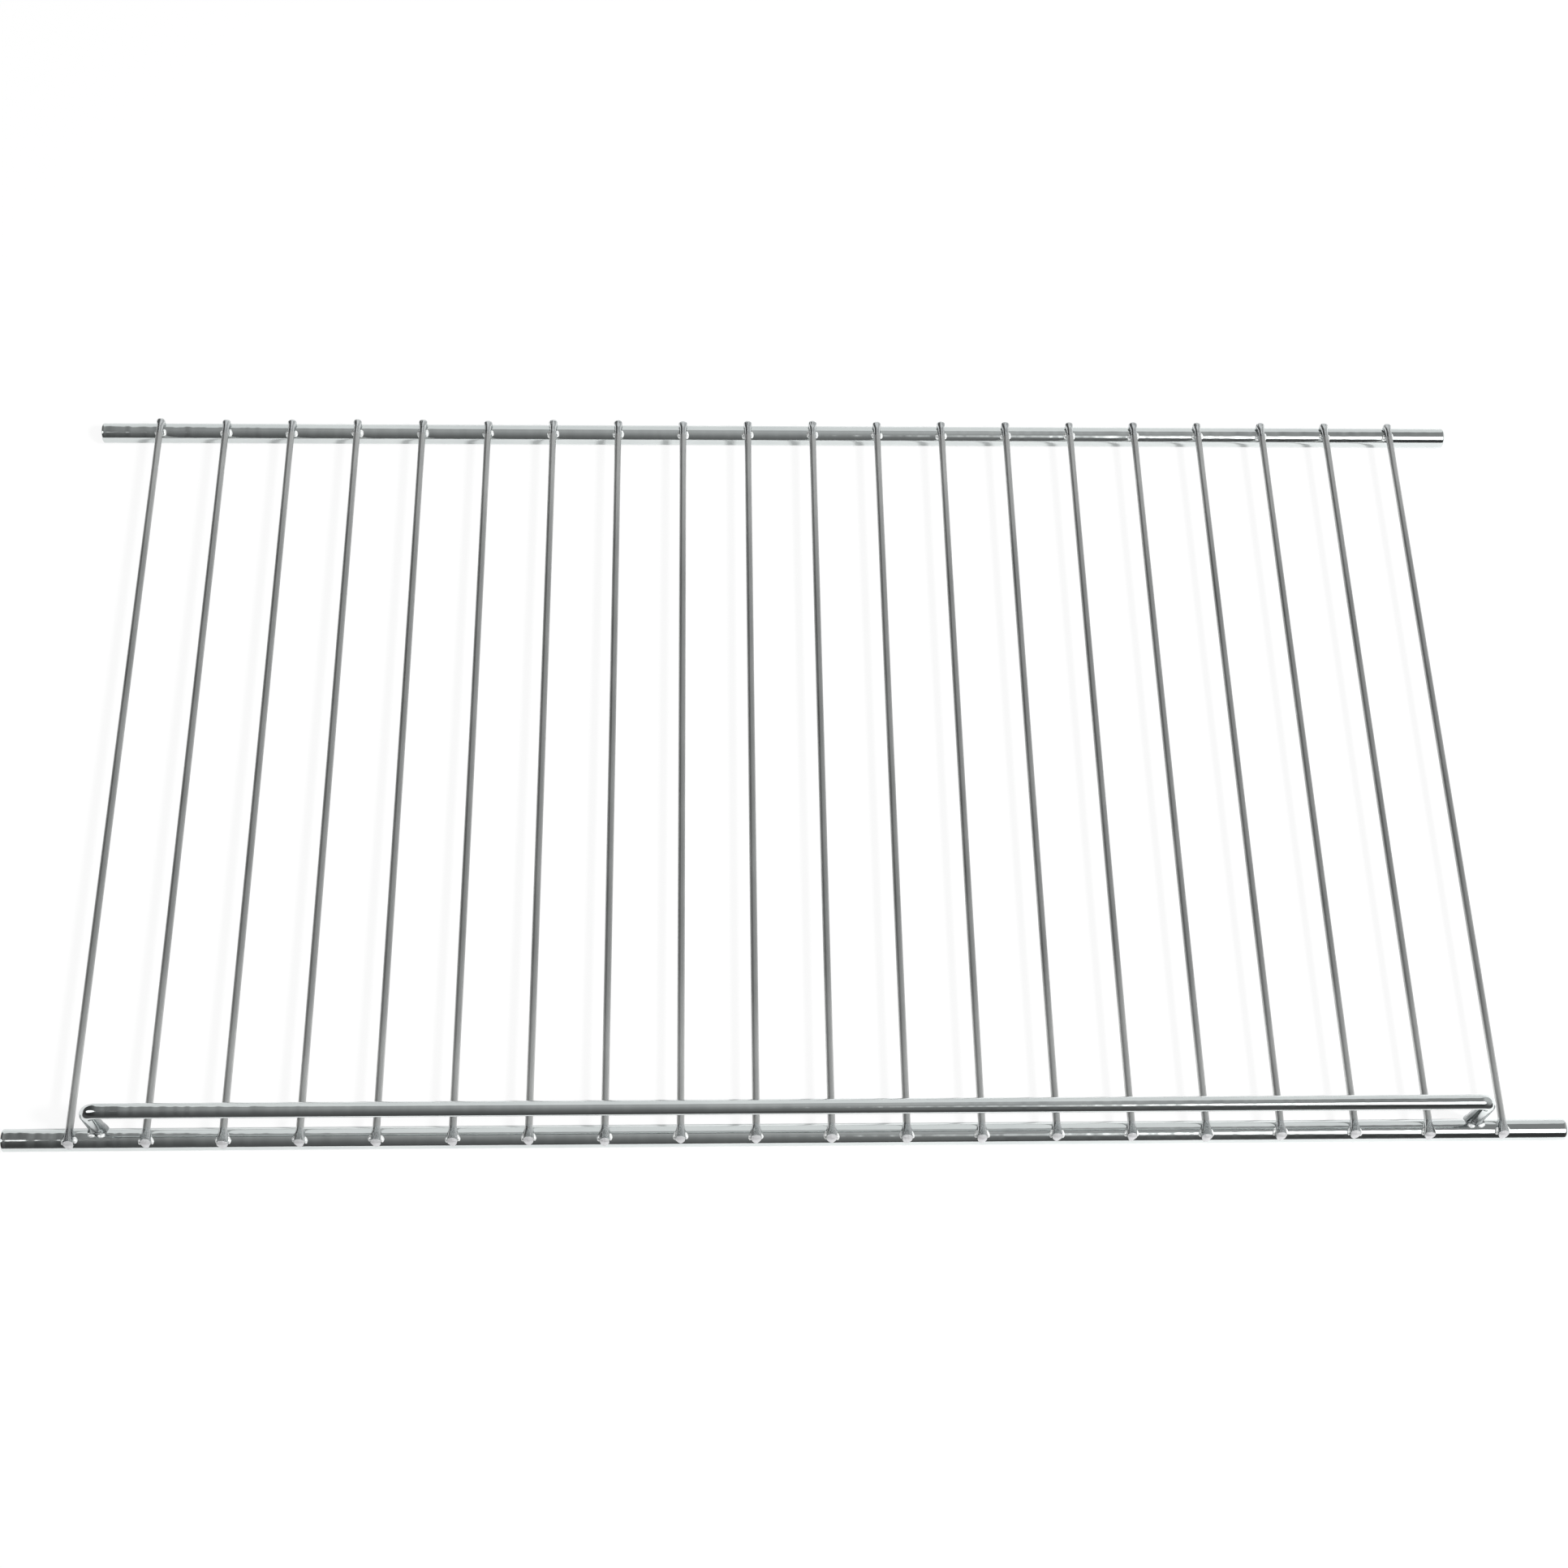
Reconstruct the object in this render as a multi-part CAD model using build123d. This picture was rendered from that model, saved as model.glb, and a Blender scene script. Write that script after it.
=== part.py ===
from build123d import *
import os

# Refrigerator wire shelf, in millimetres.
# X runs along the two cross rods, the front edge is at -Y, and the rods lie on Z = 0.
# The deck wires run front to back on top of the rods, and every crossing is resistance welded.

# Cross rods
rod_diameter = 6.0
rod_spacing = 225.0  # from the front rod's axis to the rear rod's axis
rod_overhang = 18.0  # rod end past the axis of the outermost wire
rod_end_chamfer = 0.5

# Deck wires
wire_diameter = 2.0
wire_count = 20
wire_pitch = 20.0
wire_tip = 2.8  # cut end of a wire past the axis of the rod under it
wire_set_down = 0.3  # depth to which the weld presses a wire into the rod

# Guard rail, one wire bent down at both ends, standing on the front rod
rail_diameter = 4.0
rail_height = 16.7  # axis of the rail's straight run above the rod's axis
rail_setback = 2.4  # axis of the rail behind the axis of the front rod
rail_leg_inset = 7.0  # axis of a leg inside the axis of the outermost wire
rail_bend_radius = 3.0  # on the rail's axis
rail_set_down = 2.0  # depth of a leg's cut end below the crown of the rod

# Weld flash, the metal squeezed out along both sides of a wire and around a leg
wire_flash_reach = 0.75  # past the side of the wire, on the crown of the rod
wire_flash_height = 0.5  # above the crown of the rod
wire_flash_length = 2.8  # along the wire
rail_flash_reach = 0.9  # past the side of the leg, on the crown of the rod
rail_flash_height = 1.8  # above the crown of the rod

# Sizes that follow from the ones above
rod_radius = rod_diameter / 2
wire_radius = wire_diameter / 2
rail_radius = rail_diameter / 2
wire_span = (wire_count - 1) * wire_pitch
rod_length = wire_span + 2 * rod_overhang
rod_z = rod_radius
crown_z = rod_diameter
front_y = -rod_spacing / 2
rear_y = rod_spacing / 2
wire_length = rod_spacing + 2 * wire_tip
wire_z = crown_z + wire_radius - wire_set_down
rail_y = front_y + rail_setback
rail_z = rod_z + rail_height
leg_x = wire_span / 2 - rail_leg_inset


def cross_rod(y):
    """A straight round rod along X with both ends chamfered."""
    bar = Pos(0, y, rod_z) * Rot(0, 90, 0) * Cylinder(rod_radius, rod_length)
    rims = bar.edges().filter_by(GeomType.CIRCLE)
    return chamfer(rims, rod_end_chamfer)


def flare(core, reach, height):
    """Half width of a flash at its top, and at its bottom one rod radius below the crown.

    The flank starts just inside the welded wire at the given height and passes its reach on the crown.
    """
    top = 0.9 * core
    toe = core + reach
    bottom = toe + (toe - top) * rod_radius / height
    return top, bottom


def deck_wire(rods):
    """One wire along Y at X = 0 with the flash of its two welds seated on the rods."""
    wire = Pos(0, 0, wire_z) * Rot(90, 0, 0) * Cylinder(wire_radius, wire_length)
    top, bottom = flare(wire_radius, wire_flash_reach, wire_flash_height)
    top_z = crown_z + wire_flash_height
    corners = [(-bottom, rod_z), (bottom, rod_z), (top, top_z), (-top, top_z)]
    section = Plane.XZ * Polygon(*corners, align=None)
    flash = extrude(section, wire_flash_length / 2, both=True)
    for y in (front_y, rear_y):
        wire += Pos(0, y, 0) * flash
    for rod in rods:
        wire -= rod
    return wire


def guard_rail(rod):
    """One wire bent down at both ends, with the flash around its two feet seated on the front rod."""
    foot_z = crown_z - rail_set_down
    corners = [
        (-leg_x, rail_y, foot_z),
        (-leg_x, rail_y, rail_z),
        (leg_x, rail_y, rail_z),
        (leg_x, rail_y, foot_z),
    ]
    path = FilletPolyline(*corners, radius=rail_bend_radius)
    start = Plane(origin=path @ 0, z_dir=path % 0)
    rail = sweep(start * Circle(rail_radius), path)
    top, bottom = flare(rail_radius, rail_flash_reach, rail_flash_height)
    height = rail_flash_height + rod_radius
    middle_z = crown_z + rail_flash_height - height / 2
    flash = Cone(bottom, top, height)
    near_rod = Pos(0, front_y, rod_z) * Rot(0, 90, 0) * Cylinder(rod_radius + rail_flash_height, rod_length)
    for x in (-leg_x, leg_x):
        collar = Pos(x, rail_y, middle_z) * flash
        rail += split(collar, Plane.XY.offset(foot_z), keep=Keep.TOP) & near_rod
    return rail - rod


front_rod = cross_rod(front_y)
rear_rod = cross_rod(rear_y)
wire = deck_wire([front_rod, rear_rod])

os.makedirs("parts", exist_ok=True)
export_step(front_rod, "parts/front_rod.step")
export_step(rear_rod, "parts/rear_rod.step")
for n in range(wire_count):
    x = n * wire_pitch - wire_span / 2
    export_step(Pos(x, 0, 0) * wire, f"parts/wire_{n + 1:02d}.step")
export_step(guard_rail(front_rod), "parts/front_rail.step")
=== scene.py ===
import math
import random

import bmesh
import bpy
from mathutils import Matrix, Vector, noise


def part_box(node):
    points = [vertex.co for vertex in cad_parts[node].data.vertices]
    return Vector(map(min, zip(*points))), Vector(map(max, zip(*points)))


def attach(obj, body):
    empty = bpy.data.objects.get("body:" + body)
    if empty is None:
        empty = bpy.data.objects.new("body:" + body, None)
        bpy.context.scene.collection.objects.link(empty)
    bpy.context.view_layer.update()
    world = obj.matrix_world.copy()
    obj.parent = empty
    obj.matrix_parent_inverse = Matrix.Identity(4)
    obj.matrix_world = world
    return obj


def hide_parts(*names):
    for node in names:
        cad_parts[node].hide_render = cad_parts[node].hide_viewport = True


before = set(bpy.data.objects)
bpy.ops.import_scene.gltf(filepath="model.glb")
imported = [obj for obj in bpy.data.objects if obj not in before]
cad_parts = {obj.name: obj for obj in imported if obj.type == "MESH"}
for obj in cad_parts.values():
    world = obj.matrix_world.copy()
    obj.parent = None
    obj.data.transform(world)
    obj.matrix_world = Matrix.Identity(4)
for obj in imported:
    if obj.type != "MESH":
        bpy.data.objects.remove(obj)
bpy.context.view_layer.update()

# Sizes of the shelf, in metres.
MM = 0.001
WIRE_COUNT = 20
WIRE_RADIUS = 1.0 * MM
RAIL_RADIUS = 2.0 * MM
RAIL_BEND = 3.0 * MM
RAIL_SETBACK = 2.4 * MM
RAIL_LEG_INSET = 7.0 * MM
ROD_LEFT_ROUND = 0.4 * MM
FRONT_ROD_RIGHT_ROUND = 0.9 * MM
REAR_ROD_RIGHT_ROUND = 0.5 * MM

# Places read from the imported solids.
front_low, front_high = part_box("front_rod")
rear_low, rear_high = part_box("rear_rod")
rail_low, rail_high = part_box("front_rail")
wire_low, wire_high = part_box("wire_01")
ROD_RADIUS = (front_high[2] - front_low[2]) / 2
ROD_AXIS_Z = (front_high[2] + front_low[2]) / 2
FRONT_ROD_Y = (front_high[1] + front_low[1]) / 2
REAR_ROD_Y = (rear_high[1] + rear_low[1]) / 2
WIRE_AXIS_Z = wire_high[2] - WIRE_RADIUS
RAIL_AXIS_Z = rail_high[2] - RAIL_RADIUS
RAIL_Y = FRONT_ROD_Y + RAIL_SETBACK
RAIL_FOOT_Z = rail_low[2]
RAIL_LEG_X = abs(wire_low[0] + wire_high[0]) / 2 - RAIL_LEG_INSET

# Welds between deck wires and rods. Offsets run along the wire from the rod's axis to the shelf's front.
# Slants, leans and skews are in degrees.
FRONT_WELD = {
    "flare": 0.66 * MM, "start": -2.7 * MM, "peak": 0.9 * MM, "end": 2.1 * MM, "bend": 1.7,
    "press_from": -2.4 * MM, "press_to": 2.4 * MM, "spread": 0.42, "flatten": 0.24,
    "hang_from": -2.5 * MM, "hang_to": -1.3 * MM, "deepest": 2.75 * MM,
    "taper": 0.55, "taper_from": 1.2 * MM, "taper_to": 2.6 * MM, "reach": (-0.1 * MM, 0.35 * MM),
    "slant": (25, 35), "rounding": 0.26 * MM, "bulge": 0.16 * MM,
    "bead_across": 1.46 * MM, "bead_along": 1.15 * MM, "bead_size": (0.56 * MM, 0.95 * MM, 0.56 * MM),
    "bead_lean": 20, "bead_skew": (8, 22),
}
REAR_WELD = {
    "flare": 0.5 * MM, "start": -0.8 * MM, "peak": 1.7 * MM, "end": 2.9 * MM, "bend": 1.6,
    "press_from": 0.4 * MM, "press_to": -2.0 * MM, "spread": 0.26, "flatten": 0.22,
    "hang_from": 3.2 * MM, "hang_to": 2.2 * MM, "deepest": 1.9 * MM,
    "taper": 0.0, "taper_from": -1.2 * MM, "taper_to": -2.6 * MM, "reach": (-0.3 * MM, 0.0),
    "slant": (-6, 6), "rounding": 0.88 * MM, "bulge": 0.06 * MM,
    "bead_across": 1.2 * MM, "bead_along": 1.65 * MM, "bead_size": (0.70 * MM, 1.0 * MM, 0.5 * MM),
    "bead_lean": 40, "bead_skew": (0, 16),
}
WELD_SINK = 0.12 * MM
WELD_SPAN = 3.3 * MM
WELD_STATIONS = 46
WELD_KEEL = 0.12 * MM
WELD_KNEE = 0.66
WELD_SIDE_TAPER = 0.10
FLARE_RUN = (0.05, 0.85)
FLARE_END_BEND = 1.5
RIDGE_TURN = 3.0
RIDGES_PER_METRE = 250
RIDGE_SHARE = 0.13
LUMPS_PER_METRE = 700
LUMP_SHARE = 0.05
CUT_FADE = (-0.30 * MM, -0.04 * MM)

# How far the welds and beads differ from one crossing to the next, and the seeds of their draws.
FLARE_VARIES = (0.85, 1.15)
SPREAD_VARIES = (0.8, 1.15)
FLATTEN_VARIES = (0.75, 1.2)
PEAK_VARIES = (-0.15 * MM, 0.15 * MM)
GRAIN_RANGE = (0, 50)
BEAD_ALONG_VARIES = (-0.2 * MM, 0.2 * MM)
BEAD_ACROSS_VARIES = (0.94, 1.06)
BEAD_SIZE_VARIES = (0.85, 1.12)
BEAD_LEAN_VARIES = (0.8, 1.2)
WIRE_SEED = 300
RAIL_SEED = 700

# Beads of squeezed-out metal.
BEAD_LIFT = 0.12 * MM
BEAD_LUMPS_PER_METRE = 1100
BEAD_LUMP_SHARE = 0.12
BEAD_FINENESS = 4

# Weld between the rail's foot and the front rod.
FOOT_TOP = 9.0 * MM
FOOT_FLARE_ALONG = 0.75 * MM
FOOT_FLARE_FRONT = 0.35 * MM
FOOT_FLARE_BEND = 2.6
FOOT_BACK_CUT = 0.8
FOOT_LUMP = 0.12 * MM
FOOT_LUMP_BEND = 0.5
FOOT_SINK = 0.12 * MM
FOOT_RINGS = 18
FOOT_GRAIN = Vector((3, 1, 2))
FOOT_BEAD_GRAIN = Vector((5, 3, 1))
FOOT_BEADS = {
    "bead_across": 1.35 * MM, "bead_along": -0.35 * MM, "bead_size": (1.05 * MM, 0.72 * MM, 0.5 * MM),
    "bead_lean": 8, "bead_skew": (6, 22),
}

# Fineness of the meshes, and how close counts as the same.
# A hold ring beside a rounded end or a bend keeps the straight run's shading true.
HOLD_RING = 0.4 * MM
ROD_SIDES = 96
WIRE_SIDES = 40
RAIL_SIDES = 64
ROD_ROUND_STEPS = 6
TIP_ROUND_STEPS = 5
TIP_RINGS = 4
TIP_SPARE = 4 * MM
BEND_STEPS = 20
SHARP_ANGLE = math.radians(50)
SAME_POINT = 1e-7
SAME_PLANE = 1e-6
ON_CUT = 1e-8
NO_LENGTH = 1e-9
FACES_ALIKE = 0.999
LEG_MARGIN = 1.01

# Finishes. Colours go from dull to pale, polish from smooth to rough, relief is for draw lines and speckle.
# A wire turns paler over the run WIRE_ENDS, measured from its middle.
# FROST_AND_BEAD_HIGHLIGHT makes cut faces and beads less metallic; on the near-white beads this paints white
# highlights.
ROD_COLOURS = ((0.575, 0.605, 0.605), (0.635, 0.665, 0.66))
ROD_POLISH = (0.07, 0.12)
ROD_RELIEF = (0.05, 0.012)
ROD_WAVES = 0.11 * MM
WIRE_COLOURS = ((0.36, 0.37, 0.365), (0.44, 0.45, 0.445))
WIRE_POLISH = (0.40, 0.50)
WIRE_RELIEF = (0.12, 0.1)
WIRE_ENDS = (55 * MM, 105 * MM)
END_COLOURS = ((0.53, 0.54, 0.535), (0.63, 0.64, 0.63))
WELD_COLOURS = ((0.50, 0.52, 0.53), (0.64, 0.66, 0.66))
WELD_POLISH = (0.20, 0.30)
# Rail legs, darker from the bends down to the feet: painted shade, over the foot welds.
FOOT_WELD_AND_SHADE_COLOURS = ((0.27, 0.285, 0.29), (0.42, 0.44, 0.445))
CUT_COLOURS = ((0.60, 0.60, 0.61), (0.73, 0.73, 0.74))
CUT_POLISH = (0.50, 0.66)
# Near-white bead colours are painted highlights.
BEAD_HIGHLIGHT_COLOURS = ((0.90, 0.92, 0.92), (0.97, 0.98, 0.97))
BEAD_POLISH = (0.26, 0.38)
FROST_AND_BEAD_HIGHLIGHT = 0.38
RELIEF_DEPTH = 0.02 * MM
COLOUR_PLACES = (0.3, 0.7)
POLISH_PLACES = (0.25, 0.75)

# Noises on the metal: squeeze along the wire, scale in a metre, detail.
DRAW_LINES = (0.02, 2600, 3)
CLOUDS = (0.4, 120, 4)
SPECKLE = (0.5, 5200, 2)
DENTS = (4.0, 60, 1)


def smooth_step(low, high, value):
    """0 below one value, 1 above another, and a smooth change between."""
    part = min(max((value - low) / (high - low), 0.0), 1.0)
    return part * part * (3 - 2 * part)


# Materials

def new_material(name):
    """An empty material with its nodes and links."""
    material = bpy.data.materials.new(name)
    material.use_nodes = True
    nodes = material.node_tree.nodes
    nodes.clear()
    return material, nodes, material.node_tree.links


def drawn_noise(nodes, links, along, squeeze, scale, detail):
    """Noise squeezed along one axis, or drawn out as the lines of a drawing die are, for a value under 1."""
    coordinates = nodes.new("ShaderNodeTexCoord")
    mapping = nodes.new("ShaderNodeMapping")
    sizes = [1.0, 1.0, 1.0]
    sizes[along] = squeeze
    mapping.inputs["Scale"].default_value = sizes
    texture = nodes.new("ShaderNodeTexNoise")
    texture.inputs["Scale"].default_value = scale
    texture.inputs["Detail"].default_value = detail
    links.new(coordinates.outputs["Object"], mapping.inputs["Vector"])
    links.new(mapping.outputs["Vector"], texture.inputs["Vector"])
    return texture.outputs["Fac"]


def painted_share(nodes, name):
    """Share stored on the points of a piece."""
    node = nodes.new("ShaderNodeAttribute")
    node.attribute_name = name
    return node.outputs["Fac"]


def ramp(nodes, links, source, dull, pale):
    """Colour ramp between two colours over part of a noise's range."""
    node = nodes.new("ShaderNodeValToRGB")
    for element, place, colour in zip(node.color_ramp.elements, COLOUR_PLACES, (dull, pale)):
        element.position = place
        element.color = (*colour, 1)
    links.new(source, node.inputs["Fac"])
    return node.outputs["Color"]


def value_range(nodes, links, source, low, high):
    """A value between two limits over part of a noise's range."""
    node = nodes.new("ShaderNodeMapRange")
    node.inputs["From Min"].default_value = POLISH_PLACES[0]
    node.inputs["From Max"].default_value = POLISH_PLACES[1]
    node.inputs["To Min"].default_value = low
    node.inputs["To Max"].default_value = high
    links.new(source, node.inputs["Value"])
    return node.outputs["Result"]


def mixed(nodes, links, kind, share, first, second):
    """One finish where the share is 0 and another where it is 1."""
    node = nodes.new("ShaderNodeMix")
    node.data_type = kind
    sockets = {"FLOAT": (2, 3, 0), "RGBA": (6, 7, 2)}[kind]
    links.new(share, node.inputs[0])
    links.new(first, node.inputs[sockets[0]])
    links.new(second, node.inputs[sockets[1]])
    return node.outputs[sockets[2]]


def node_maths(nodes, links, operation, *sources):
    """One sum on node sockets and plain numbers."""
    node = nodes.new("ShaderNodeMath")
    node.operation = operation
    for socket, source in zip(node.inputs, sources):
        if isinstance(source, (int, float)):
            socket.default_value = source
        else:
            links.new(source, socket)
    return node.outputs[0]


def soft_edge(nodes, links, source, low, high, low_value=0.0, high_value=1.0):
    """A smooth change of level while a source goes from low to high."""
    node = nodes.new("ShaderNodeMapRange")
    node.interpolation_type = "SMOOTHSTEP"
    node.inputs["From Min"].default_value = low
    node.inputs["From Max"].default_value = high
    node.inputs["To Min"].default_value = low_value
    node.inputs["To Max"].default_value = high_value
    links.new(source, node.inputs["Value"])
    return node.outputs["Result"]


def bumped(nodes, links, height, strength, depth, normal):
    """Relief on a surface, laid over an earlier relief if there is one."""
    node = nodes.new("ShaderNodeBump")
    node.inputs["Strength"].default_value = strength
    node.inputs["Distance"].default_value = depth
    links.new(height, node.inputs["Height"])
    if normal:
        links.new(normal, node.inputs["Normal"])
    return node.outputs["Normal"]


def plated_steel(name, along, colours, polish, relief, ends=None, melted=WELD_COLOURS, waves=None):
    """Bright plating over drawn steel wire.

    It has streaks along the wire and fine speckle, with other finishes on welds, cut ends and beads. On the
    rail the weld finish also paints shade on the legs, and the bead finish paints white highlights.
    """
    material, nodes, links = new_material(name)
    output = nodes.new("ShaderNodeOutputMaterial")
    shader = nodes.new("ShaderNodeBsdfPrincipled")
    streak = drawn_noise(nodes, links, along, *DRAW_LINES)
    cloud = drawn_noise(nodes, links, along, *CLOUDS)
    speckle = drawn_noise(nodes, links, along, *SPECKLE)
    on_weld_and_shade = painted_share(nodes, "weld")
    on_cut = painted_share(nodes, "cut")
    on_bead = painted_share(nodes, "bead")

    colour = ramp(nodes, links, cloud, *colours)
    rough = value_range(nodes, links, cloud, *polish)
    if ends:
        place = nodes.new("ShaderNodeTexCoord")
        parts = nodes.new("ShaderNodeSeparateXYZ")
        links.new(place.outputs["Object"], parts.inputs[0])
        from_middle = node_maths(nodes, links, "ABSOLUTE", parts.outputs[along])
        at_end = soft_edge(nodes, links, from_middle, *ends)
        colour = mixed(nodes, links, "RGBA", at_end, colour, ramp(nodes, links, cloud, *END_COLOURS))
    finishes = (
        # Weld finish; on the rail's legs its darker colours are painted shade.
        (on_weld_and_shade, melted, cloud, WELD_POLISH),
        (on_cut, CUT_COLOURS, speckle, CUT_POLISH),
        # Bead finish: near-white, a painted highlight.
        (on_bead, BEAD_HIGHLIGHT_COLOURS, cloud, BEAD_POLISH),
    )
    for share, tints, pattern, shine in finishes:
        colour = mixed(nodes, links, "RGBA", share, colour, ramp(nodes, links, pattern, *tints))
        rough = mixed(nodes, links, "FLOAT", share, rough, value_range(nodes, links, speckle, *shine))
    # Frosting the near-white beads paints white highlights on them; cut faces turn matte.
    frost_and_highlight = node_maths(nodes, links, "MAXIMUM", on_cut, on_bead)
    metal = node_maths(nodes, links, "MULTIPLY_ADD", frost_and_highlight, -FROST_AND_BEAD_HIGHLIGHT, 1.0)

    normal = None
    if waves:
        dents = drawn_noise(nodes, links, along, *DENTS)
        normal = bumped(nodes, links, dents, 1.0, waves, normal)
    normal = bumped(nodes, links, streak, relief[0], RELIEF_DEPTH, normal)
    normal = bumped(nodes, links, speckle, relief[1], RELIEF_DEPTH, normal)
    links.new(colour, shader.inputs["Base Color"])
    links.new(rough, shader.inputs["Roughness"])
    links.new(metal, shader.inputs["Metallic"])
    links.new(normal, shader.inputs["Normal"])
    links.new(shader.outputs["BSDF"], output.inputs["Surface"])
    return material


ALONG_X, ALONG_Y = 0, 1
ROD_STEEL = plated_steel("rod_plating", ALONG_X, ROD_COLOURS, ROD_POLISH, ROD_RELIEF, waves=ROD_WAVES)
# The rail's weld colours are darker, and they paint shade on its legs.
RAIL_STEEL = plated_steel("rail_plating", ALONG_X, ROD_COLOURS, ROD_POLISH, ROD_RELIEF,
                          melted=FOOT_WELD_AND_SHADE_COLOURS, waves=ROD_WAVES)
WIRE_STEEL = plated_steel("wire_plating", ALONG_Y, WIRE_COLOURS, WIRE_POLISH, WIRE_RELIEF, ends=WIRE_ENDS)


# Shapes

def finish_layers(bm):
    """Shares of weld, cut and bead finish on the points of a piece, 0 to begin with."""
    return [bm.verts.layers.float.new(name) for name in ("weld", "cut", "bead")]


def finished_piece(name, bm, material, node):
    """Turns a bmesh into a shown piece that stands for one solid of the frame."""
    bmesh.ops.remove_doubles(bm, verts=bm.verts, dist=SAME_POINT)
    bmesh.ops.recalc_face_normals(bm, faces=bm.faces)
    mesh = bpy.data.meshes.new(name)
    bm.to_mesh(mesh)
    bm.free()
    mesh.shade_smooth()
    mesh.set_sharp_from_angle(angle=SHARP_ANGLE)
    mesh.materials.append(material)
    piece = bpy.data.objects.new(name, mesh)
    bpy.context.collection.objects.link(piece)
    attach(piece, "root")
    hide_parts(node)
    return piece


def rim_edges(bm, axis, place):
    """Edges that lie in the plane at one place on an axis."""
    return [edge for edge in bm.edges
            if all(abs(vert.co[axis] - place) < SAME_PLANE for vert in edge.verts)]


def cut_through(bm, point, normal, drop_outside):
    """A straight cut through everything, with the outside thrown away and the hole closed if asked."""
    everything = bm.verts[:] + bm.edges[:] + bm.faces[:]
    cut = bmesh.ops.bisect_plane(bm, geom=everything, dist=ON_CUT, plane_co=point, plane_no=normal,
                                 clear_outer=drop_outside)
    if not drop_outside:
        return []
    rim = [item for item in cut["geom_cut"] if isinstance(item, bmesh.types.BMEdge)]
    bmesh.ops.holes_fill(bm, edges=rim)
    return rim


def cross_rod(name, node, left_round, right_round):
    """A thick rod along X with its sheared ends rounded over."""
    low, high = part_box(node)
    length = high[0] - low[0]
    centre = Vector(((low[0] + high[0]) / 2, (low[1] + high[1]) / 2, ROD_AXIS_Z))
    bm = bmesh.new()
    place = Matrix.Translation(centre) @ Matrix.Rotation(math.pi / 2, 4, "Y")
    bmesh.ops.create_cone(bm, cap_ends=True, segments=ROD_SIDES, radius1=ROD_RADIUS, radius2=ROD_RADIUS,
                          depth=length, matrix=place)
    for end, rounding in ((low[0], left_round), (high[0], right_round)):
        bmesh.ops.bevel(bm, geom=rim_edges(bm, 0, end), offset=rounding, segments=ROD_ROUND_STEPS,
                        profile=0.5, affect="EDGES", material=-1)
        inner = end + (1 if end < 0 else -1) * (rounding + HOLD_RING)
        cut_through(bm, Vector((inner, 0, 0)), Vector((1, 0, 0)), False)
    finish_layers(bm)
    return finished_piece(name, bm, ROD_STEEL, node)


def rod_top(offset):
    """Height of a rod's surface above the rod's axis, at an offset from that axis."""
    inside = ROD_RADIUS ** 2 - offset ** 2
    return math.sqrt(inside) if inside > 0 else 0.0


class WireWeld:
    """Melted metal between one deck wire and one rod, with the wire's squeezed tip."""

    def __init__(self, form, rod_y, chance):
        self.form = form
        self.rod_y = rod_y
        self.flares = {side: form["flare"] * chance.uniform(*FLARE_VARIES) for side in (-1, 1)}
        self.spread = form["spread"] * chance.uniform(*SPREAD_VARIES)
        self.flatten = form["flatten"] * chance.uniform(*FLATTEN_VARIES)
        self.peak = form["peak"] + chance.uniform(*PEAK_VARIES)
        self.grain = Vector([chance.uniform(*GRAIN_RANGE) for axis in range(3)])

    def flare(self, offset):
        """Share of the full flare at an offset from the rod's axis."""
        start, end = self.form["start"], self.form["end"]
        if offset < self.peak:
            return max((offset - start) / (self.peak - start), 0.0) ** self.form["bend"]
        part = min((offset - self.peak) / (end - self.peak), 1.0)
        return (1 - part * part) ** FLARE_END_BEND

    def underside(self, offset, across, up, half_width):
        """Where a point of the wire's lower half lies on the melted foot that rests on the rod."""
        form = self.form
        side = 1 if across >= 0 else -1
        flare = self.flares[side] * self.flare(offset)
        toe = min(WIRE_AXIS_Z - ROD_AXIS_Z - rod_top(offset) + WELD_SINK, form["deepest"])
        taper = WELD_SIDE_TAPER
        taper += form["taper"] * smooth_step(form["taper_from"], form["taper_to"], offset)
        quarter = math.atan2(-up, abs(across)) / (math.pi / 2)
        if quarter < WELD_KNEE:
            part = quarter / WELD_KNEE
            narrowed = half_width * (1 - taper * part ** 2)
            return side * (narrowed + flare * smooth_step(*FLARE_RUN, part)), -toe * part
        part = (quarter - WELD_KNEE) / (1 - WELD_KNEE)
        return side * (half_width * (1 - taper) + flare) * (1 - part), -toe - WELD_KEEL * part

    def shape(self, point, axis_x):
        """Moves a point of the round wire to where it is on the welded one, and gives the weld's share."""
        form = self.form
        offset = self.rod_y - point.y
        if abs(offset) > WELD_SPAN:
            return 0.0
        press = smooth_step(form["press_from"], form["press_to"], offset)
        hang = smooth_step(form["hang_from"], form["hang_to"], offset)
        melted = max(press, hang)
        across = point.x - axis_x
        up = point.z - WIRE_AXIS_Z
        radius = math.hypot(across, up)
        if radius < NO_LENGTH:
            return melted
        full = radius / WIRE_RADIUS
        half_width = WIRE_RADIUS * (1 + self.spread * press)
        ridge_place = Vector((RIDGE_TURN * math.atan2(up, across), RIDGES_PER_METRE * offset, 0))
        ridge = noise.noise(ridge_place + self.grain) * RIDGE_SHARE * press
        lump = noise.noise(point * LUMPS_PER_METRE + self.grain) * LUMP_SHARE * melted
        swell = full * (1 + ridge + lump)
        if up >= 0:
            new_across = across / radius * half_width
            new_up = up / radius * WIRE_RADIUS * (1 - self.flatten * press)
        else:
            new_across, new_up = self.underside(offset, across, up, half_width)
            new_across = across / full + (new_across - across / full) * hang
            new_up = up / full + (new_up - up / full) * hang
        point.x = axis_x + new_across * swell
        point.z = WIRE_AXIS_Z + new_up * swell
        return melted


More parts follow.
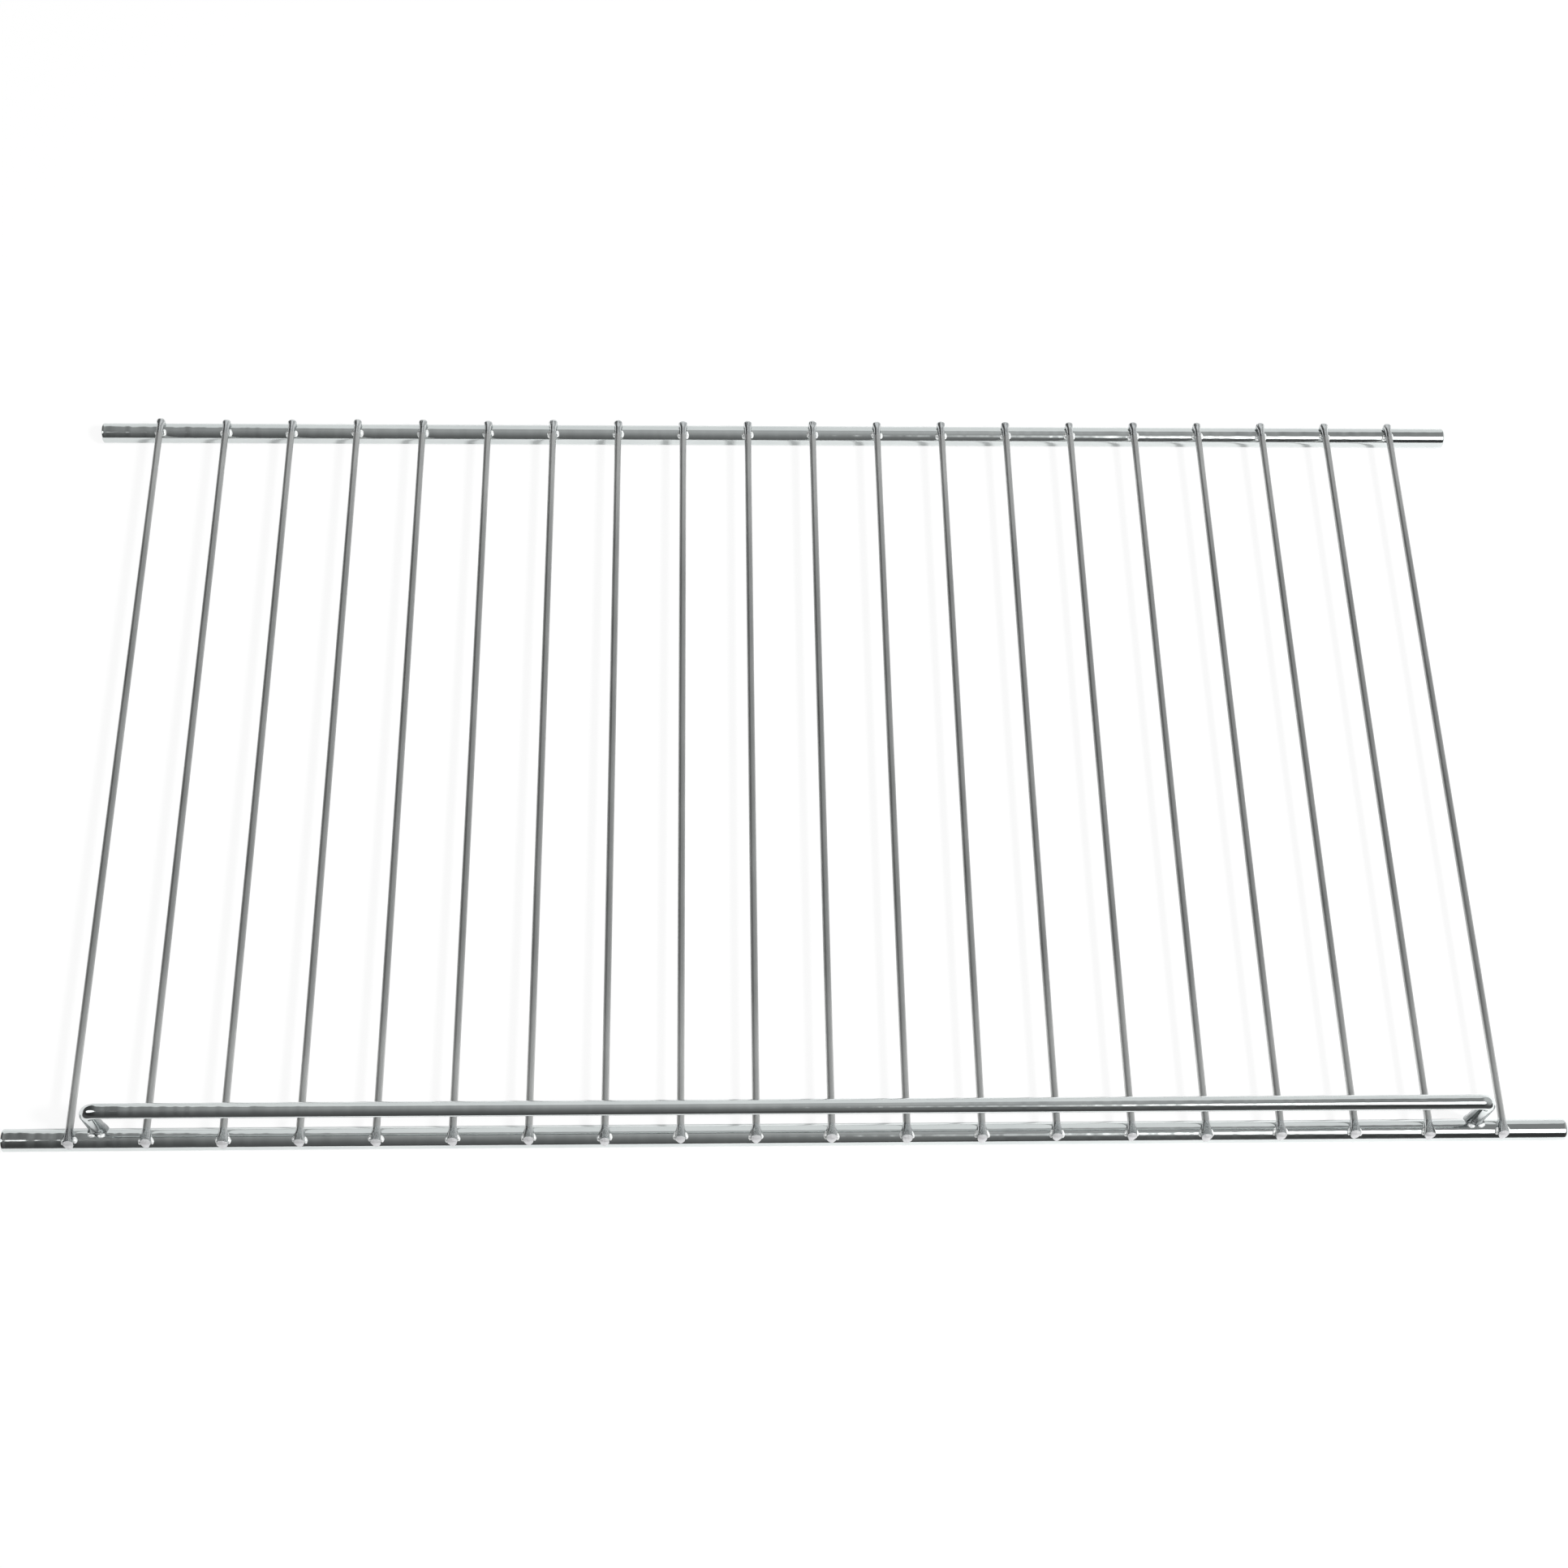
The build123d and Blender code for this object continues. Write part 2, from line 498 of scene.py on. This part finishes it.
def cut_tip(bm, axis_x, tip, outward, form, chance):
    """Cuts one tip of a wire, rounds its rim over and swells the cut face a little. Gives the cut's plane."""
    slant = math.radians(chance.uniform(*form["slant"]))
    normal = Vector((0, outward * math.cos(slant), math.sin(slant)))
    tip_y = tip + outward * chance.uniform(*form["reach"])
    place = Vector((axis_x, tip_y, WIRE_AXIS_Z - WIRE_RADIUS))
    rim = cut_through(bm, place, normal, True)
    bmesh.ops.bevel(bm, geom=rim, offset=form["rounding"], segments=TIP_ROUND_STEPS, profile=0.5,
                    affect="EDGES", material=-1)
    facing = [face for face in bm.faces if face.normal.dot(normal) > FACES_ALIKE]
    flat = max(facing, key=lambda face: len(face.verts))
    for ring in range(TIP_RINGS, 0, -1):
        to_centre = Matrix.Translation(-flat.calc_center_median())
        bmesh.ops.inset_individual(bm, faces=[flat], thickness=0.0)
        shrink = ring / (ring + 1)
        bmesh.ops.scale(bm, verts=flat.verts, vec=(shrink, shrink, shrink), space=to_centre)
        rise = form["bulge"] * (2 * ring - 1) / TIP_RINGS ** 2
        bmesh.ops.translate(bm, verts=flat.verts, vec=normal * rise)
    bmesh.ops.poke(bm, faces=[flat])
    return place, normal


def squeezed_bead(bm, form, rod_y, grain, axis_x, side, chance):
    """A bead of metal squeezed out beside a wire or a leg, lying on the rod; its brightness is a painted
    highlight. Gives its points.
    """
    offset = form["bead_along"] + chance.uniform(*BEAD_ALONG_VARIES)
    across = side * form["bead_across"] * chance.uniform(*BEAD_ACROSS_VARIES)
    centre = Vector((axis_x + across, rod_y - offset, ROD_AXIS_Z + rod_top(offset) + BEAD_LIFT))
    size = Matrix.Diagonal([length * chance.uniform(*BEAD_SIZE_VARIES) for length in form["bead_size"]] + [1])
    skew = Matrix.Rotation(side * math.radians(chance.uniform(*form["bead_skew"])), 4, "Z")
    lean = math.radians(form["bead_lean"] * chance.uniform(*BEAD_LEAN_VARIES))
    outward = Matrix.Rotation(side * lean, 4, "Y")
    on_rod = Matrix.Rotation(math.asin(offset / ROD_RADIUS), 4, "X")
    turned = Matrix.Translation(centre) @ on_rod @ outward @ skew @ size
    made = bmesh.ops.create_icosphere(bm, subdivisions=BEAD_FINENESS, radius=1.0, matrix=turned)["verts"]
    for vert in made:
        lump = 1 + BEAD_LUMP_SHARE * noise.noise(vert.co * BEAD_LUMPS_PER_METRE + grain)
        vert.co = centre + (vert.co - centre) * lump
    return made


def deck_wire(index):
    """A thin wire along Y, cut at both tips, squeezed and welded on both rods."""
    node = "wire_%02d" % index
    low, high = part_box(node)
    axis_x = (low[0] + high[0]) / 2
    chance = random.Random(WIRE_SEED + index)
    bm = bmesh.new()
    place = Matrix.Translation((axis_x, 0, WIRE_AXIS_Z)) @ Matrix.Rotation(math.pi / 2, 4, "X")
    bmesh.ops.create_cone(bm, cap_ends=True, segments=WIRE_SIDES, radius1=WIRE_RADIUS, radius2=WIRE_RADIUS,
                          depth=high[1] - low[1] + TIP_SPARE, matrix=place)
    welds = []
    cuts = []
    ends = ((FRONT_WELD, FRONT_ROD_Y, -1, low[1]), (REAR_WELD, REAR_ROD_Y, 1, high[1]))
    for form, rod_y, outward, tip in ends:
        cuts.append(cut_tip(bm, axis_x, tip, outward, form, chance))
        welds.append(WireWeld(form, rod_y, chance))
    for weld in welds:
        for step in range(WELD_STATIONS + 1):
            offset = WELD_SPAN * (2 * step / WELD_STATIONS - 1)
            cut_through(bm, Vector((0, weld.rod_y - offset, 0)), Vector((0, 1, 0)), False)
    weld_and_shade_layer, cut_layer, bead_layer = finish_layers(bm)
    for vert in bm.verts:
        depth = max((vert.co - spot).dot(normal) for spot, normal in cuts)
        vert[cut_layer] = smooth_step(*CUT_FADE, depth)
        vert[weld_and_shade_layer] = max(weld.shape(vert.co, axis_x) for weld in welds)
    for weld in welds:
        for side in (-1, 1):
            for vert in squeezed_bead(bm, weld.form, weld.rod_y, weld.grain, axis_x, side, chance):
                vert[bead_layer] = 1.0
                vert[weld_and_shade_layer] = 1.0
    return finished_piece("shelf_wire_%02d" % index, bm, WIRE_STEEL, node)


def ring_moved(bm, ring, vector):
    """Draws a ring of edges out along a vector and gives the new ring."""
    drawn = bmesh.ops.extrude_edge_only(bm, edges=ring)["geom"]
    verts = [item for item in drawn if isinstance(item, bmesh.types.BMVert)]
    bmesh.ops.translate(bm, verts=verts, vec=vector)
    fresh = set(verts)
    return [item for item in drawn if isinstance(item, bmesh.types.BMEdge) and set(item.verts) <= fresh]


def ring_bent(bm, ring, centre):
    """Swings a ring of edges round one bend of the rail and gives the ring at the bend's end."""
    spun = bmesh.ops.spin(bm, geom=ring, cent=centre, axis=(0, 1, 0), angle=math.pi / 2, steps=BEND_STEPS,
                          dvec=(0, 0, 0))
    return [item for item in spun["geom_last"] if isinstance(item, bmesh.types.BMEdge)]


def foot_shape(vert, leg_x, grain):
    """Flares a leg of the rail into the weld that holds it on the front rod."""
    part = (vert.co.z - RAIL_FOOT_Z) / (FOOT_TOP - RAIL_FOOT_Z)
    if part > 1 or abs(abs(vert.co.x) - RAIL_LEG_X) > LEG_MARGIN * RAIL_RADIUS:
        return
    across = Vector((vert.co.x - leg_x, vert.co.y - RAIL_Y, 0))
    if across.length < NO_LENGTH:
        return
    outward = across.normalized()
    in_front = max(-outward.y, 0.0)
    behind = max(outward.y, 0.0)
    reach = FOOT_FLARE_ALONG * abs(outward.x) + FOOT_FLARE_FRONT * in_front
    toe = (RAIL_Y + outward.y * (RAIL_RADIUS + reach)) - FRONT_ROD_Y
    base_z = max(ROD_AXIS_Z + rod_top(toe) - FOOT_SINK, RAIL_FOOT_Z)
    flare = reach * (1 - FOOT_BACK_CUT * behind) * (1 - part) ** FOOT_FLARE_BEND
    lump = noise.noise(vert.co * LUMPS_PER_METRE + grain) * FOOT_LUMP * (1 - part) ** FOOT_LUMP_BEND
    vert.co.x = leg_x + across.x + outward.x * (flare + lump)
    vert.co.y = RAIL_Y + across.y + outward.y * (flare + lump)
    vert.co.z = base_z + (FOOT_TOP - base_z) * part


def front_rail():
    """The guard rail: one wire bent down at both ends, its feet flared where they are welded."""
    bend_z = RAIL_AXIS_Z - RAIL_BEND
    bend_x = RAIL_LEG_X - RAIL_BEND
    ring_step = (FOOT_TOP - RAIL_FOOT_Z) / FOOT_RINGS
    bm = bmesh.new()
    weld_and_shade_layer, _, bead_layer = finish_layers(bm)
    bmesh.ops.create_circle(bm, cap_ends=False, segments=RAIL_SIDES, radius=RAIL_RADIUS,
                            matrix=Matrix.Translation((-RAIL_LEG_X, RAIL_Y, RAIL_FOOT_Z)))
    ring = bm.edges[:]
    for step in range(FOOT_RINGS):
        ring = ring_moved(bm, ring, Vector((0, 0, ring_step)))
    ring = ring_moved(bm, ring, Vector((0, 0, bend_z - FOOT_TOP)))
    ring = ring_bent(bm, ring, Vector((-bend_x, RAIL_Y, bend_z)))
    for length in (HOLD_RING, 2 * bend_x - 2 * HOLD_RING, HOLD_RING):
        ring = ring_moved(bm, ring, Vector((length, 0, 0)))
    ring = ring_bent(bm, ring, Vector((bend_x, RAIL_Y, bend_z)))
    ring = ring_moved(bm, ring, Vector((0, 0, FOOT_TOP - bend_z)))
    for step in range(FOOT_RINGS):
        ring = ring_moved(bm, ring, Vector((0, 0, -ring_step)))
    bmesh.ops.remove_doubles(bm, verts=bm.verts, dist=SAME_POINT)
    bmesh.ops.holes_fill(bm, edges=[edge for edge in bm.edges if edge.is_boundary])
    for vert in bm.verts:
        side = -1 if vert.co.x < 0 else 1
        # Painted shade: the weld finish darkens the legs from the bends down, fully below FOOT_TOP.
        vert[weld_and_shade_layer] = smooth_step(bend_z, FOOT_TOP, vert.co.z)
        foot_shape(vert, side * RAIL_LEG_X, Matrix.Diagonal((side, 1, 1)) @ FOOT_GRAIN)
    chance = random.Random(RAIL_SEED)
    for side in (-1, 1):
        for toe in (-1, 1):
            grain = Matrix.Diagonal((side, toe, 1)) @ FOOT_BEAD_GRAIN
            for vert in squeezed_bead(bm, FOOT_BEADS, FRONT_ROD_Y, grain, side * RAIL_LEG_X, toe, chance):
                vert[bead_layer] = 1.0
    return finished_piece("shelf_front_rail", bm, RAIL_STEEL, "front_rail")


cross_rod("shelf_front_rod", "front_rod", ROD_LEFT_ROUND, FRONT_ROD_RIGHT_ROUND)
cross_rod("shelf_rear_rod", "rear_rod", ROD_LEFT_ROUND, REAR_ROD_RIGHT_ROUND)
for number in range(1, WIRE_COUNT + 1):
    deck_wire(number)
front_rail()


# Stage

# The white sheet that the shelf lies on.
SHEET_HALF = 4.0
SHEET_COLOUR = (0.9, 0.9, 0.9, 1)
SHEET_EDGE_Y = FRONT_ROD_Y - 17 * MM
SHEET_EDGE_SOFT = 2 * MM
SHEET_GLOW = 0.9
SHEET_GLOW_IN_METAL = 0.3
BEYOND_SHEET = 0.1

# Lamps: places and radii in metres. Only the soft boxes show in the metal.
RIGHT_BOX = {"place": (1.20, -1.23, 1.81), "radii": (0.73, 0.73), "radiance": 2.0}
LEFT_BOX = {"place": (-1.74, -0.68, 1.73), "radii": (1.05, 0.60), "radiance": 2.2}
KEY_LIGHT = {"place": (0.78, -0.39, 0.99), "radii": (0.10, 0.10), "radiance": 200.0, "in_metal": False}

# The faint spill of light round the right soft box.
HALO_TOWARD = (0.438, -0.49, 0.754)
HALO_FROM = 0.92
HALO_TO = 0.956
HALO_LEVEL = 0.5

# Grey walls of the room. Slopes and edges go by a direction's parts to the right and to the back.
# An edge is from, to, level before and level after.
SIDE_MIDDLE = 1.19
SIDE_SLOPE = 1.5
SIDE_LEAST = 0.35
RIGHT_MIDDLE = 1.62
RIGHT_SLOPE = -3.0
RIGHT_LEAST = 0.70
FAR_RIGHT_EDGE = (0.40, 0.65, 0.0, 0.75)
FAR_LEFT_EDGE = (-0.33, -0.21, 0.5, 1.0)
DEPTH_MIDDLE = 0.43
DEPTH_SLOPE = 0.30
DEPTH_MOST = 0.45
DARK_FRONT_EDGE = (-0.75, -0.35, 1.0, 0.0)
DARK_RIGHT_EDGE = (0.1, 0.4, 0.0, 0.6)
ROOM_TINT = (0.99, 1.0, 1.0, 1)

# White backdrop that arches behind the shelf and drops away on the left.
ARCH_TOP = 0.865
ARCH_CURVE = -1.6
ARCH_LEFT_SLOPE = -3.0
ARCH_LEFT_START = -0.6
ARCH_SOFT = 0.025
BACKDROP_EDGE = (0.05, 0.3)

# Camera: sensor and lens in millimetres, place in metres, turn in degrees.
CAMERA_SENSOR = 36.0
CAMERA_LENS = 51.25
CAMERA_PLACE = (-23.41 * MM, -291.9 * MM, 576.76 * MM)
CAMERA_TURN = (26.32, -1.778, -0.981)


def pale_floor():
    """A wide white sheet that the camera and the metal see as white, and that still takes the shadow.

    In the metal it ends a little in front of the shelf, as the edge of a table does.
    """
    bm = bmesh.new()
    bmesh.ops.create_grid(bm, x_segments=1, y_segments=1, size=SHEET_HALF)
    mesh = bpy.data.meshes.new("floor")
    bm.to_mesh(mesh)
    bm.free()
    floor = bpy.data.objects.new("floor", mesh)
    bpy.context.collection.objects.link(floor)
    mesh.materials.append(white_sheet())


def white_sheet():
    """White paper, partly glowing where the camera and the metal see it."""
    material, nodes, links = new_material("white_sheet")
    output = nodes.new("ShaderNodeOutputMaterial")
    sheet = nodes.new("ShaderNodeBsdfDiffuse")
    sheet.inputs["Color"].default_value = SHEET_COLOUR
    glow = nodes.new("ShaderNodeEmission")
    glow.inputs["Strength"].default_value = 1.0
    beyond = nodes.new("ShaderNodeEmission")
    beyond.inputs["Strength"].default_value = BEYOND_SHEET
    path = nodes.new("ShaderNodeLightPath")
    place = nodes.new("ShaderNodeTexCoord")
    parts = nodes.new("ShaderNodeSeparateXYZ")
    links.new(place.outputs["Object"], parts.inputs[0])
    reflected, refracted = path.outputs["Is Glossy Ray"], path.outputs["Is Transmission Ray"]
    in_metal = node_maths(nodes, links, "MAXIMUM", reflected, refracted)
    metal_share = node_maths(nodes, links, "MULTIPLY", in_metal, SHEET_GLOW_IN_METAL)
    seen = node_maths(nodes, links, "MULTIPLY_ADD", path.outputs["Is Camera Ray"], SHEET_GLOW, metal_share)
    lit = nodes.new("ShaderNodeMixShader")
    links.new(seen, lit.inputs["Fac"])
    links.new(sheet.outputs["BSDF"], lit.inputs[1])
    links.new(glow.outputs["Emission"], lit.inputs[2])
    edge = (SHEET_EDGE_Y - SHEET_EDGE_SOFT, SHEET_EDGE_Y + SHEET_EDGE_SOFT, 1.0, 0.0)
    off_sheet = soft_edge(nodes, links, parts.outputs["Y"], *edge)
    ended = nodes.new("ShaderNodeMixShader")
    links.new(node_maths(nodes, links, "MULTIPLY", in_metal, off_sheet), ended.inputs["Fac"])
    links.new(lit.outputs["Shader"], ended.inputs[1])
    links.new(beyond.outputs["Emission"], ended.inputs[2])
    links.new(ended.outputs["Shader"], output.inputs["Surface"])
    return material


def soft_lamp(name, place, radii, radiance, in_metal=True):
    """A rounded soft box that points at the shelf, its long way in line with the rods."""
    lamp = bpy.data.lights.new(name, "AREA")
    lamp.shape = "ELLIPSE"
    lamp.size = 2 * radii[0]
    lamp.size_y = 2 * radii[1]
    lamp.energy = radiance * math.pi * math.pi * radii[0] * radii[1]
    holder = bpy.data.objects.new(name, lamp)
    holder.location = place
    away = Vector(place).normalized()
    along = (Vector((1, 0, 0)) - away * away.x).normalized()
    holder.rotation_euler = Matrix((along, away.cross(along), away)).transposed().to_euler()
    holder.visible_glossy = in_metal
    bpy.context.collection.objects.link(holder)


def grey_walls(nodes, links, right, back):
    """Level of the walls.

    They are darker in front, on the left and a little to the right, and paler again far out on the right.
    """
    side = node_maths(nodes, links, "MULTIPLY_ADD", right, SIDE_SLOPE, SIDE_MIDDLE)
    side = node_maths(nodes, links, "MAXIMUM", side, SIDE_LEAST)
    fall = node_maths(nodes, links, "MULTIPLY_ADD", right, RIGHT_SLOPE, RIGHT_MIDDLE)
    fall = node_maths(nodes, links, "MAXIMUM", fall, RIGHT_LEAST)
    fall = node_maths(nodes, links, "ADD", fall, soft_edge(nodes, links, right, *FAR_RIGHT_EDGE))
    side = node_maths(nodes, links, "MINIMUM", side, fall)
    side = node_maths(nodes, links, "MULTIPLY", side, soft_edge(nodes, links, right, *FAR_LEFT_EDGE))
    depth = node_maths(nodes, links, "MULTIPLY_ADD", back, DEPTH_SLOPE, DEPTH_MIDDLE)
    depth = node_maths(nodes, links, "MINIMUM", depth, DEPTH_MOST)
    in_front = soft_edge(nodes, links, back, *DARK_FRONT_EDGE)
    to_right = soft_edge(nodes, links, right, *DARK_RIGHT_EDGE)
    dark = node_maths(nodes, links, "MULTIPLY", in_front, to_right)
    shade = node_maths(nodes, links, "SUBTRACT", 1.0, dark)
    return node_maths(nodes, links, "MULTIPLY", node_maths(nodes, links, "MULTIPLY", side, depth), shade)


def white_backdrop(nodes, links, right, back, up):
    """1 on the backdrop behind the shelf and 0 elsewhere."""
    squared = node_maths(nodes, links, "MULTIPLY", right, right)
    arch = node_maths(nodes, links, "MULTIPLY_ADD", squared, ARCH_CURVE, ARCH_TOP)
    drop = node_maths(nodes, links, "MULTIPLY_ADD", right, ARCH_LEFT_SLOPE, ARCH_LEFT_START)
    drop = node_maths(nodes, links, "MAXIMUM", drop, 0.0)
    arch = node_maths(nodes, links, "SUBTRACT", arch, drop)
    below = node_maths(nodes, links, "SUBTRACT", arch, up)
    under = soft_edge(nodes, links, below, -ARCH_SOFT, ARCH_SOFT)
    behind = soft_edge(nodes, links, back, *BACKDROP_EDGE)
    return node_maths(nodes, links, "MULTIPLY", under, behind)


def studio_room():
    """The grey room with its white backdrop and the spill round the right soft box."""
    world = bpy.data.worlds.new("studio")
    world.use_nodes = True
    nodes = world.node_tree.nodes
    links = world.node_tree.links
    nodes.clear()
    output = nodes.new("ShaderNodeOutputWorld")
    background = nodes.new("ShaderNodeBackground")
    background.inputs["Color"].default_value = ROOM_TINT
    direction = nodes.new("ShaderNodeTexCoord")
    parts = nodes.new("ShaderNodeSeparateXYZ")
    links.new(direction.outputs["Generated"], parts.inputs[0])
    right, back, up = parts.outputs
    walls = grey_walls(nodes, links, right, back)
    backdrop = white_backdrop(nodes, links, right, back, up)
    rest = node_maths(nodes, links, "SUBTRACT", 1.0, backdrop)
    room = node_maths(nodes, links, "MULTIPLY", walls, rest)
    toward = nodes.new("ShaderNodeVectorMath")
    toward.operation = "DOT_PRODUCT"
    toward.inputs[1].default_value = Vector(HALO_TOWARD).normalized()
    links.new(direction.outputs["Generated"], toward.inputs[0])
    halo = soft_edge(nodes, links, toward.outputs["Value"], HALO_FROM, HALO_TO, 0.0, HALO_LEVEL)
    room = node_maths(nodes, links, "ADD", room, halo)
    links.new(node_maths(nodes, links, "ADD", room, backdrop), background.inputs["Strength"])
    links.new(background.outputs["Background"], output.inputs["Surface"])
    bpy.context.scene.world = world


def front_camera():
    """The camera, in front of the shelf and above it."""
    camera = bpy.data.cameras.new("camera")
    camera.sensor_width = CAMERA_SENSOR
    camera.lens = CAMERA_LENS
    holder = bpy.data.objects.new("camera", camera)
    holder.location = CAMERA_PLACE
    holder.rotation_euler = [math.radians(turn) for turn in CAMERA_TURN]
    bpy.context.collection.objects.link(holder)
    bpy.context.scene.camera = holder


pale_floor()
soft_lamp("right_box", **RIGHT_BOX)
soft_lamp("left_box", **LEFT_BOX)
soft_lamp("key_light", **KEY_LIGHT)
studio_room()
front_camera()
bpy.context.scene.view_settings.view_transform = "Standard"
